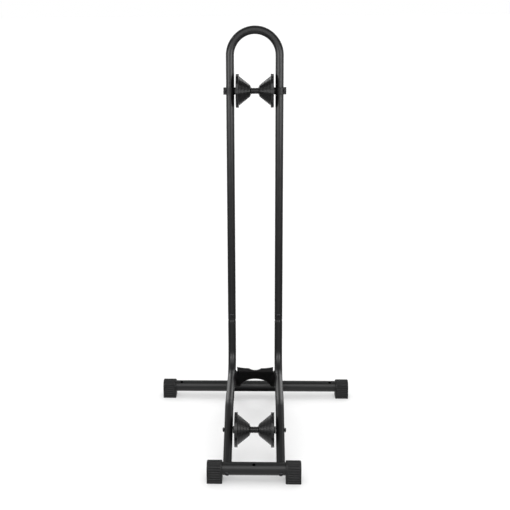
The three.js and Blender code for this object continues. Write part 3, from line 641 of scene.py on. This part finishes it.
def weld(name, start, end, radius, lean):
    """A rippled weld bead along a straight seam."""
    steps = max(2, int((end - start).length / WELD_STEP))
    path = [start.lerp(end, k / steps) for k in range(steps)] + [end]
    rings = []
    for i, p in enumerate(path):
        along = (path[min(i + 1, len(path) - 1)] - path[max(i - 1, 0)]).normalized()
        ripple = 1 + RIPPLE * math.sin(i * WELD_STEP / RIPPLE_PITCH * 2 * math.pi)
        ends = min(1.0, BEAD_END + BEAD_GROWTH * i, BEAD_END + BEAD_GROWTH * (len(path) - 1 - i))
        wander = lean * WANDER * math.sin(i * WANDER_RATE)
        rings.append(ring(p + wander, along, radius * ripple * ends, WELD_SIDES))
    obj = raw(name, loft(rings, capped=True))
    dress(obj, [], angle=60, slot="frame_paint", body="base")


def welds():
    plate_back = at(Vector((-DOWN_PLATE.y, DOWN_PLATE.x)))
    for side, label in SIDES:
        start = at(FOLD + DOWN_PLATE * TUBE_WELD_FROM, side * PLATE_NECK_HALF)
        end = at(FOLD + DOWN_PLATE * TUBE_WELD_TO, side * PLATE_NECK_HALF)
        for lift, spot in ((-WELD_PROUD, "under"), (PLATE_T + WELD_PROUD, "over")):
            shift = plate_back * lift
            weld(f"weld_tube_{label}_{spot}", start + shift, end + shift, TUBE_WELD_R, plate_back)
        for height, spot in ((SEAT_ANGLE, "under"), (SEAT_ANGLE + OVER_ANGLE, "over")):
            out = Vector((-math.cos(height), math.sin(height)))
            seam = Vector((REAR_BAR.y, BAR_Z)) + out * (BAR_R + BAR_WELD_LIFT)
            inner, outer = (at(seam, side * x) for x in BAR_WELD_X)
            weld(f"weld_bar_{label}_{spot}", inner, outer, BAR_WELD_R, at(out))


# ---------------------------------------------------------------- feet

FOOT_LENGTH = 33.0
FOOT_R = 18.0
ARCH_COUNT = 104  # steps over the foot's round top
FACE_STEP = 0.55  # up the foot's upright faces
FACE_START = 0.25
FLUTE_PITCH = 27.0 / 5
FLUTE_ANGLE = math.pi / 8  # between the flutes over the round top
FLUTE_HALF = 1.7
FLUTE_DEPTH = 1.5
SOLE_BAND = 3.2  # height of the line above the sole
SOLE_LINE_LOW, SOLE_LINE_HIGH = 0.3, 0.5  # below and above that height
SOLE_LINE_DEPTH = 0.55
FLUTES_FROM = 0.8  # above the sole band
QUARTER_STEPS = 5  # round each end
OUTER_ROUND = 2.6  # along the bar, at the outer end
OUTER_INSET = 1.6
OUTER_TOP_DROP = 1.4
INNER_ROUND = 2.8  # along the bar, at the inner end
INNER_INSET = 2.4
INNER_TOP_DROP = 1.0
FLUTE_ENDS = (  # (from the outer end, share of the flutes' depth)
    (3.2, 0.0),
    (4.2, 1.0),
    (FOOT_LENGTH - 5.2, 1.0),
    (FOOT_LENGTH - 4.2, 0.0),
    (FOOT_LENGTH - INNER_ROUND, 0.0),
)
MOUTH_CHAMFER = 0.6
BORE_CENTRE_R = 0.05  # ring that closes the bottom of the bore


def flute(phase):
    """Depth of the grooves, one for each whole phase from 1."""
    near = abs(phase - round(phase)) * FLUTE_PITCH
    if round(phase) == 0 or near > FLUTE_HALF:
        return 0.0
    return FLUTE_DEPTH * (0.5 + 0.5 * math.cos(math.pi * near / FLUTE_HALF))


def face_depth(z):
    """Depth of the grooves at a height on an upright face."""
    if z > SOLE_BAND + FLUTES_FROM:
        return flute(z / FLUTE_PITCH)
    if SOLE_BAND - SOLE_LINE_LOW <= z <= SOLE_BAND + SOLE_LINE_HIGH:
        return SOLE_LINE_DEPTH
    return 0.0


def foot_section():
    """Points of the foot's outline with their outward normals and how deep the grooves are there."""
    heights = [0.0, FACE_START]
    while heights[-1] < BAR_Z - FACE_STEP:
        heights.append(heights[-1] + FACE_STEP)
    section = [(Vector((FOOT_R, z)), Vector((1, 0)), face_depth(z)) for z in heights]
    for k in range(ARCH_COUNT + 1):
        angle = math.pi * k / ARCH_COUNT
        out = Vector((math.cos(angle), math.sin(angle)))
        depth = flute(BAR_Z / FLUTE_PITCH + angle / FLUTE_ANGLE)
        section.append((Vector((0, BAR_Z)) + out * FOOT_R, out, depth))
    return section + [(Vector((-FOOT_R, z)), Vector((-1, 0)), face_depth(z)) for z in reversed(heights)]


def foot(name, axis, span, side):
    section = foot_section()
    outer_x = side * span / 2

    def outline(inset, shrink=0.0, fluted=0.0, top_drop=0.0):
        """A ring at an inset from the outer end, drawn in all round and lowered at the top."""
        x = outer_x - side * inset
        points = []
        for point, out, depth in section:
            p = point - out * (shrink + depth * fluted)
            p.y = max(p.y, 0.0)
            if top_drop and p.y > BAR_Z:
                p.y -= top_drop * (p.y - BAR_Z) / FOOT_R
            points.append(Vector((x, axis.y + p.x, p.y)))
        return points

    def bore(inset, radius):
        """A ring of the bore that takes the bar."""
        x = outer_x - side * inset
        points = []
        for point, _, _ in section:
            ray = Vector((point.x, point.y - BAR_Z)).normalized()
            points.append(Vector((x, axis.y + ray.x * radius, BAR_Z + ray.y * radius)))
        return points

    rings = []
    for k in range(QUARTER_STEPS + 1):
        turn = math.pi / 2 * k / QUARTER_STEPS
        left = 1 - math.sin(turn)
        inset = OUTER_ROUND * (1 - math.cos(turn))
        rings.append(outline(inset, OUTER_INSET * left, 0.0, OUTER_TOP_DROP * left))
    rings += [outline(inset, fluted=fluted) for inset, fluted in FLUTE_ENDS]
    for k in range(1, QUARTER_STEPS + 1):
        turn = math.pi / 2 * k / QUARTER_STEPS
        done = 1 - math.cos(turn)
        inset = FOOT_LENGTH - INNER_ROUND + INNER_ROUND * math.sin(turn)
        rings.append(outline(inset, INNER_INSET * done, 0.0, INNER_TOP_DROP * done))
    rings.append(bore(FOOT_LENGTH, BAR_R + FIT + MOUTH_CHAMFER))
    rings.append(bore(FOOT_LENGTH - MOUTH_CHAMFER, BAR_R + FIT))
    rings.append(bore(FOOT_END_WALL, BAR_R + FIT))
    rings.append(bore(FOOT_END_WALL, BORE_CENTRE_R))
    piece(f"{name}_fine", [loft(rings, capped=True)], [name], angle=38)


# ---------------------------------------------------------------- rollers

ROLLER_R = 38.5
ROLLER_SIDES = 96
OUTER_FACE = 43.75
RIM_FACE = 36.75
MOUTH_R = 34.2
FLOOR_R = 13.8
FLOOR_X = 11.0
NECK_X = 8.4
NECK_EDGE = 1.0  # thickness of a cone where it ends at the neck
SHELL_WALL = 3.0
CONE_ROUND = 0.8
SLEEVE_R = 7.0
SLEEVE_END = 35.1
SLEEVE_SIDES = 72
HUB_R = 10.5
AXLE_BORE = 5.3
RINGS = 8  # turned into each cone's flank
RING_W = 1.9
RING_D = 0.8
RIB_COUNT = 6
RIB_HALF = 1.2
SLEEVE_GROOVES = 4
SLEEVE_GROOVE_W = 1.8
SLEEVE_GROOVE_D = 0.65
SLEEVE_GROOVE_STEPS = 8
GROOVE_FULLNESS = 0.7  # below 1 the groove is fuller than a sine


def flank():
    """The cone's flank from the neck to the rim, with shallow rings turned into it."""
    start = Vector((FLOOR_X, FLOOR_R))
    slope = Vector((RIM_FACE - FLOOR_X, MOUTH_R - FLOOR_R))
    inward = Vector((slope.y, -slope.x)).normalized()
    along = slope.normalized() * RING_W / 2
    points = [start]
    for i in range(RINGS):
        middle = start + slope * ((i + 0.5) / RINGS)
        points += [middle - along, middle + inward * RING_D, middle + along]
    points.append(Vector((RIM_FACE, MOUTH_R)))
    return [tuple(p) for p in points]


def roller_cone(name, centre, side):
    flare = (MOUTH_R - FLOOR_R) / (RIM_FACE - FLOOR_X)
    shell = SHELL_WALL * math.hypot(1, flare)
    cavity_start = FLOOR_X + (HUB_R - FLOOR_R + shell) / flare
    cavity_top = RIM_FACE + SHELL_WALL
    rim_bore = ROLLER_R - SHELL_WALL
    bore = SLEEVE_R + FIT
    profile = [
        (NECK_X, bore),
        (NECK_X, bore + NECK_EDGE),
        *flank(),
        (RIM_FACE, ROLLER_R),
        (OUTER_FACE, ROLLER_R),
        (OUTER_FACE, rim_bore),
        (cavity_top, rim_bore),
        (cavity_top, FLOOR_R + (cavity_top - FLOOR_X) * flare - shell),
        (cavity_start, HUB_R),
        (SLEEVE_END, HUB_R),
        (SLEEVE_END, bore),
    ]
    rib = [  # side view, with its edges sunk into the hub, the shell and the rim
        (cavity_start - 1.5, HUB_R - 1.6),
        (SLEEVE_END, HUB_R - 1.6),
        (SLEEVE_END, HUB_R),
        (cavity_top - 0.6, rim_bore - 3.6),
        (cavity_top, rim_bore - 2.9),
        (cavity_top, rim_bore + 1.5),
        (cavity_top - 1.5, rim_bore - 1.5),
    ]
    parts = [turned(centre, X * side, rounded(profile, CONE_ROUND), ROLLER_SIDES)]
    for k in range(RIB_COUNT):
        turn = Matrix.Rotation(2 * math.pi * k / RIB_COUNT, 3, "X")
        parts.append(prism(rib, centre, X * side, turn @ Z, turn @ Y, -RIB_HALF, RIB_HALF))
    piece(f"{name}_fine", parts, [name], angle=35)


def roller_sleeve(name, centre):
    pitch = 2 * NECK_X / (SLEEVE_GROOVES + 1)
    profile = [(-SLEEVE_END, AXLE_BORE), (-SLEEVE_END, SLEEVE_R)]
    for i in range(SLEEVE_GROOVES):
        middle = (i - (SLEEVE_GROOVES - 1) / 2) * pitch
        for k in range(SLEEVE_GROOVE_STEPS + 1):
            share = k / SLEEVE_GROOVE_STEPS
            depth = SLEEVE_GROOVE_D * math.sin(math.pi * share) ** GROOVE_FULLNESS
            profile.append((middle + (share - 0.5) * SLEEVE_GROOVE_W, SLEEVE_R - depth))
    profile += [(SLEEVE_END, SLEEVE_R), (SLEEVE_END, AXLE_BORE)]
    piece(f"{name}_fine", [turned(centre, X, profile, SLEEVE_SIDES)], [name], angle=50)


def rollers():
    for prefix, centre in (("lower", LOWER_AXLE), ("upper", UPPER_AXLE)):
        roller_sleeve(f"{prefix}_roller_sleeve", centre)
        for side, label in SIDES:
            roller_cone(f"{prefix}_roller_cone_{label}", centre, side)


# ---------------------------------------------------------------- collars, screws and spacers

COLLAR_BORE = 9.8
COLLAR_R = 12.5
COLLAR_HALF = 7.9  # half its height
COLLAR_STEPS = 40
EAR_REACH = 15.6  # from the axis of the leg
EAR_HALF = 7.5
EAR_CORNER = 2.2
EAR_CORNER_STEPS = 6
SLOT_HALF = 0.9
BOSS_R = 8.0
BOSS_START = 10.0  # from the axis of the leg, towards the roller
AXLE_SEAT = 12.3
BOSS_SIDES = 56
SPACER_SIDES = 48
SPACER_ROUND = 0.5
HEXAGON = 6
PAST_HEAD = 5.0  # above the seat, where a socket's cutter ends
JOINT_SCREW_LIFT = 13.5  # above the lower end of the hoop's legs
BOLT_SEAT = 13.5  # from the axis of the front bar
CLAMP_SCREW_OFFSET = 12.9  # from the axis of the leg
CLAMP_SEAT = 7.8  # ahead of the hoop's plane
BUTTON_PROFILE = (  # (height over the seat, radius)
    (-8.0, 0.0),
    (-8.0, 3.0),
    (0.0, 3.0),
    (0.0, 5.0),
    (0.25, 5.25),
    (0.9, 5.25),
    (1.6, 5.02),
    (2.3, 4.5),
    (2.85, 3.8),
    (3.2, 3.0),
    (3.3, 2.6),
    (3.3, 0.0),
)
CLAMP_PROFILE = (
    (-21.6, 0.0),
    (-21.6, 1.5),
    (0.0, 1.5),
    (0.0, 2.6),
    (0.15, 2.75),
    (2.6, 2.75),
    (2.9, 2.5),
    (3.0, 2.2),
    (3.0, 0.0),
)


def sweep(centre_x, centre_y, radius, start, end, steps):
    """Points (x, y) of an arc, both ends included."""
    points = []
    for k in range(steps + 1):
        t = start + (end - start) * k / steps
        points.append((centre_x + radius * math.cos(t), centre_y + radius * math.sin(t)))
    return points


def collar(side, label):
    """Ring with two ears around a slot, and the boss that carries the axle."""
    centre = UPPER_AXLE + X * side * LEG_X
    ear_start = math.asin(EAR_HALF / COLLAR_R)
    slot_start = math.asin(SLOT_HALF / COLLAR_BORE)
    corner_x, corner_y = EAR_REACH - EAR_CORNER, EAR_HALF - EAR_CORNER
    full, quarter = 2 * math.pi, math.pi / 2
    outline = sweep(0, 0, COLLAR_R, ear_start, full - ear_start, COLLAR_STEPS)
    outline += sweep(corner_x, -corner_y, EAR_CORNER, -quarter, 0, EAR_CORNER_STEPS)
    outline.append((EAR_REACH, -SLOT_HALF))
    outline += sweep(0, 0, COLLAR_BORE, full - slot_start, slot_start, COLLAR_STEPS)
    outline.append((EAR_REACH, SLOT_HALF))
    outline += sweep(corner_x, corner_y, EAR_CORNER, 0, quarter, EAR_CORNER_STEPS)
    flat = [(side * x, y) for x, y in outline]
    ring_obj = raw(f"upper_collar_{label}_fine", prism(flat, centre, X, Y, Z, -COLLAR_HALF, COLLAR_HALF))
    dress(ring_obj, [f"upper_collar_{label}"], angle=30, bevel=0.5)
    end = LEG_X - BESIDE_ROLLER
    profile = [
        (BOSS_START, 0.0),
        (BOSS_START, BOSS_R),
        (end, BOSS_R),
        (end, AXLE_BORE),
        (AXLE_SEAT, AXLE_BORE),
        (AXLE_SEAT, 0.0),
    ]
    boss_obj = raw(f"upper_collar_{label}_boss", turned(centre, -X * side, profile, BOSS_SIDES, wrap=False))
    dress(boss_obj, [], angle=35, slot="collar_plastic", body="upper_carriage")


def screw(name, seat, outward, profile=BUTTON_PROFILE, sides=48, socket_floor=1.3, socket_r=2.3):
    """A screw head with a hexagon socket, on a shank that stays hidden."""
    obj = raw(f"{name}_fine", turned(seat, outward, profile, sides, wrap=False))
    socket = rod(seat + outward * socket_floor, seat + outward * PAST_HEAD, socket_r, HEXAGON)
    cut(obj, [raw("cutter", socket)])
    dress(obj, [name], angle=30)


def screws():
    for side, label in SIDES:
        joint = Vector((side * LEG_X, PLANE_Y - TUBE_R - FIT, JOINT_Z + JOINT_SCREW_LIFT))
        screw(f"joint_screw_{label}", joint, FRONT)
        screw(f"front_bar_bolt_{label}", FRONT_BAR + X * side * LEG_X + DOWN_SLOPE * BOLT_SEAT, DOWN_SLOPE)
        screw(f"lower_axle_screw_{label}", LOWER_AXLE + X * side * (LEG_X + TUBE_R + FIT), X * side)
        start, end = BESIDE_ROLLER, LEG_X - TUBE_R - FIT
        profile = [(start, AXLE_BORE), (start, BOSS_R), (end, BOSS_R), (end, AXLE_BORE)]
        spacer = turned(LOWER_AXLE, X * side, rounded(profile, SPACER_ROUND), SPACER_SIDES)
        piece(f"lower_spacer_{label}_fine", [spacer], [f"lower_spacer_{label}"])
        seat = UPPER_AXLE + X * side * (LEG_X + CLAMP_SCREW_OFFSET) + FRONT * CLAMP_SEAT
        screw(
            f"upper_clamp_screw_{label}",
            seat,
            FRONT,
            profile=CLAMP_PROFILE,
            sides=40,
            socket_floor=1.4,
            socket_r=1.44,
        )


# ---------------------------------------------------------------- build

hoop()
for tube_side, tube_label in SIDES:
    side_tube(tube_side, tube_label)
    foot(f"foot_front_{tube_label}", FRONT_BAR, FRONT_SPAN, tube_side)
    foot(f"foot_rear_{tube_label}", REAR_BAR, REAR_SPAN, tube_side)
    collar(tube_side, tube_label)
bars()
cradle()
welds()
rollers()
screws()

# Solids that stay as they are take the fine materials.
for node_name, node_object in frame["nodes"].items():
    if not node_object.hide_render:
        node_object.data.materials.clear()
        node_object.data.materials.append(SLOTS[NODE_SLOT[node_name]])


# ---------------------------------------------------------------- floor, light and camera, in metres

FLOOR_SIZE = 400
FLOOR_GREY = 0.5
FLOOR_ROUGHNESS = 0.9
FLOOR_GLOW = 0.34
WORLD_LIGHT = 0.6
WHITE = (1, 1, 1, 1)

FLOOR_FLAGS = (  # name, centre, size and level of the cards that lie on the floor
    ("flag_floor", (0, -0.5, 0.0008), (5.0, 6.0), 0.3),
    ("flag_floor_front", (0, -0.6, 0.0012), (0.5, 2.0), 0.8),
    # The two dark cards under the lip and the web are painted shade: they put the shade under the cradle into
    # its reflections.
    ("flag_shade_under_lip", (0, 0.06, 0.0016), (0.14, 0.06), 0.0),
    ("flag_shade_under_web", (0, 0.2125, 0.0016), (0.14, 0.175), 0.0),
)
SIDE_FLAGS = (  # name, lower and upper end, and level of the cards at each side
    ("low", 0.0, 0.6, 0.3),
    ("mid", 0.6, 1.0, 1.1),
    ("high", 1.0, 2.2, 0.2),
)
SIDE_FLAG_X = 1
SIDE_FLAG_Y = 0.4
SIDE_FLAG_DEPTH = 1.6
BACK_FLAG_X = 0.6

FRAME_PX = 510
SENSOR_MM = 36
FOCAL_PX = 943.9
SHIFT_PX = 22.28
PITCH = math.radians(14.41)
PAN = math.radians(1.87)
ROLL = math.radians(0.44)
CAMERA_AT = (0.01805, -2.06095, 0.9668)


def seen_directly(nodes, links):
    """1 on camera, glossy and transmission rays, 0 on the rays that carry soft light."""
    path = nodes.new("ShaderNodeLightPath")
    either = nodes.new("ShaderNodeMath")
    either.operation = "MAXIMUM"
    links.new(path.outputs["Is Camera Ray"], either.inputs[0])
    links.new(path.outputs["Is Glossy Ray"], either.inputs[1])
    seen = nodes.new("ShaderNodeMath")
    seen.operation = "MAXIMUM"
    links.new(either.outputs["Value"], seen.inputs[0])
    links.new(path.outputs["Is Transmission Ray"], seen.inputs[1])
    return seen.outputs["Value"]


def floor():
    """A pale floor. Its own faint glow, seen directly only, takes it to white and leaves the shadow in it."""
    bpy.ops.mesh.primitive_plane_add(size=FLOOR_SIZE, location=(0, 0, 0))
    plane = bpy.context.object
    plane.name = "floor"
    mat = bpy.data.materials.new("floor")
    mat.use_nodes = True
    nodes, links = mat.node_tree.nodes, mat.node_tree.links
    shader = nodes["Principled BSDF"]
    shader.inputs["Base Color"].default_value = (FLOOR_GREY, FLOOR_GREY, FLOOR_GREY, 1)
    shader.inputs["Roughness"].default_value = FLOOR_ROUGHNESS
    shader.inputs["Specular IOR Level"].default_value = 0.0
    shader.inputs["Emission Color"].default_value = WHITE
    glow = nodes.new("ShaderNodeMath")
    glow.operation = "MULTIPLY"
    glow.inputs[1].default_value = FLOOR_GLOW
    links.new(seen_directly(nodes, links), glow.inputs[0])
    links.new(glow.outputs["Value"], shader.inputs["Emission Strength"])
    plane.data.materials.append(mat)
    return plane


def sun(name, azimuth, elevation, angle, strength):
    """Soft light from far away, with its angles in degrees. Azimuth 0 is the front and turns towards +X."""
    light = bpy.data.lights.new(name, "SUN")
    light.energy = strength
    light.angle = math.radians(angle)
    obj = bpy.data.objects.new(name, light)
    bpy.context.scene.collection.objects.link(obj)
    a, e = math.radians(azimuth), math.radians(elevation)
    source = Vector((math.sin(a) * math.cos(e), -math.cos(a) * math.cos(e), math.sin(e)))
    obj.rotation_mode = "QUATERNION"
    obj.rotation_quaternion = source.to_track_quat("Z", "Y")
    return obj


def softbox(name, location, target, width, height, power):
    """A rectangular lamp that the camera doesn't see."""
    light = bpy.data.lights.new(name, "AREA")
    light.energy = power
    light.shape = "RECTANGLE"
    light.size = width
    light.size_y = height
    obj = bpy.data.objects.new(name, light)
    bpy.context.scene.collection.objects.link(obj)
    obj.location = location
    obj.visible_camera = False
    obj.rotation_mode = "QUATERNION"
    obj.rotation_quaternion = (Vector(target) - Vector(location)).to_track_quat("-Z", "Y")
    return obj


def flag(name, centre, size, axis, level):
    """A glowing or dark card that shapes the reflections only. It stands square to an axis."""
    bpy.ops.mesh.primitive_plane_add(size=1, location=centre)
    card = bpy.context.object
    card.name = name
    card.scale = (size[0], size[1], 1)
    if axis == "X":
        card.rotation_euler = (0, math.pi / 2, 0)
    elif axis == "Y":
        card.rotation_euler = (math.pi / 2, 0, 0)
    mat = bpy.data.materials.new(name)
    mat.use_nodes = True
    shader = mat.node_tree.nodes["Principled BSDF"]
    shader.inputs["Base Color"].default_value = (0, 0, 0, 1)
    shader.inputs["Specular IOR Level"].default_value = 0.0
    shader.inputs["Emission Color"].default_value = WHITE
    shader.inputs["Emission Strength"].default_value = level
    card.data.materials.append(mat)
    card.visible_camera = False
    card.visible_diffuse = False
    card.visible_transmission = False
    card.visible_shadow = False


def flags():
    for name, centre, size, level in FLOOR_FLAGS:
        flag(name, centre, size, "Z", level)
    for side, label in SIDES:
        for part, low, high, level in SIDE_FLAGS:
            centre = (side * SIDE_FLAG_X, SIDE_FLAG_Y, (low + high) / 2)
            flag(f"flag_{label}_{part}", centre, (high - low, SIDE_FLAG_DEPTH), "X", level)
    flag("flag_top", (0, 0.15, 2.2), (2.0, 2.1), "Z", level=0.3)
    for side, label in SIDES:
        flag(f"flag_back_{label}", (side * BACK_FLAG_X, 1.99, 0.3), (0.8, 0.6), "Y", level=1.8)
    flag("flag_back_mid", (0, 2.0, 0.625), (0.9, 0.55), "Y", level=0.8)
    flag("flag_back_high", (0, 2.0, 1.55), (0.9, 1.3), "Y", level=0.15)


def studio(plane):
    """White surroundings. Two suns light only the floor, for its shadow. The lamps light only the rack."""
    world = bpy.data.worlds.new("studio")
    bpy.context.scene.world = world
    world.use_nodes = True
    nodes, links = world.node_tree.nodes, world.node_tree.links
    background = nodes["Background"]
    strength = nodes.new("ShaderNodeMapRange")
    strength.inputs["To Min"].default_value = WORLD_LIGHT
    strength.inputs["To Max"].default_value = 1.0
    links.new(seen_directly(nodes, links), strength.inputs["Value"])
    links.new(strength.outputs["Result"], background.inputs["Strength"])
    background.inputs["Color"].default_value = WHITE
    floor_only = bpy.data.collections.new("floor_only")
    floor_only.objects.link(plane)
    rack_only = bpy.data.collections.new("rack_only")
    rack_only.objects.link(plane)
    rack_only.collection_objects[0].light_linking.link_state = "EXCLUDE"
    for azimuth, label in ((0, "front"), (180, "back")):
        floor_sun = sun(f"floor_sun_{label}", azimuth, elevation=57, angle=64, strength=1.7)
        floor_sun.light_linking.receiver_collection = floor_only
    lamps = [
        softbox("top_softbox", (0, -1.9, 2.2), (0, 0, 0.1), width=2.4, height=1.6, power=17),
        softbox("front_softbox", (0, -1.3, 0.78), (0, 0, 0.78), width=3.0, height=0.5, power=7),
    ]
    for side, label in SIDES:
        lamps.append(sun(f"{label}_sun", side * 90, elevation=60, angle=60, strength=0.5))
        side_at, side_target = (side * 1.1, -0.9, 0.8), (0, 0.1, 0.8)
        lamps.append(softbox(f"{label}_softbox", side_at, side_target, width=1.0, height=0.6, power=10))
        rim_at, rim_target = (side * 1.5, 2.0, 2.0), (0, 0, 0.6)
        lamps.append(softbox(f"{label}_rim_softbox", rim_at, rim_target, width=0.9, height=0.9, power=8))
    for lamp in lamps:
        lamp.light_linking.receiver_collection = rack_only


def camera():
    ahead = Vector((-math.sin(PAN) * math.cos(PITCH), math.cos(PAN) * math.cos(PITCH), -math.sin(PITCH)))
    right = Vector((math.cos(PAN), math.sin(PAN), 0))
    down = ahead.cross(right)
    rolled_right = right * math.cos(ROLL) + down * math.sin(ROLL)
    rolled_down = down * math.cos(ROLL) - right * math.sin(ROLL)
    data = bpy.data.cameras.new("camera")
    data.sensor_width = SENSOR_MM
    data.lens = FOCAL_PX / FRAME_PX * SENSOR_MM
    data.shift_x = SHIFT_PX / FRAME_PX
    obj = bpy.data.objects.new("camera", data)
    bpy.context.scene.collection.objects.link(obj)
    axes = Matrix((rolled_right, -rolled_down, -ahead)).transposed().to_4x4()
    obj.matrix_world = Matrix.Translation(CAMERA_AT) @ axes
    bpy.context.scene.camera = obj


studio(floor())
flags()
camera()
bpy.context.scene.view_settings.view_transform = "Standard"
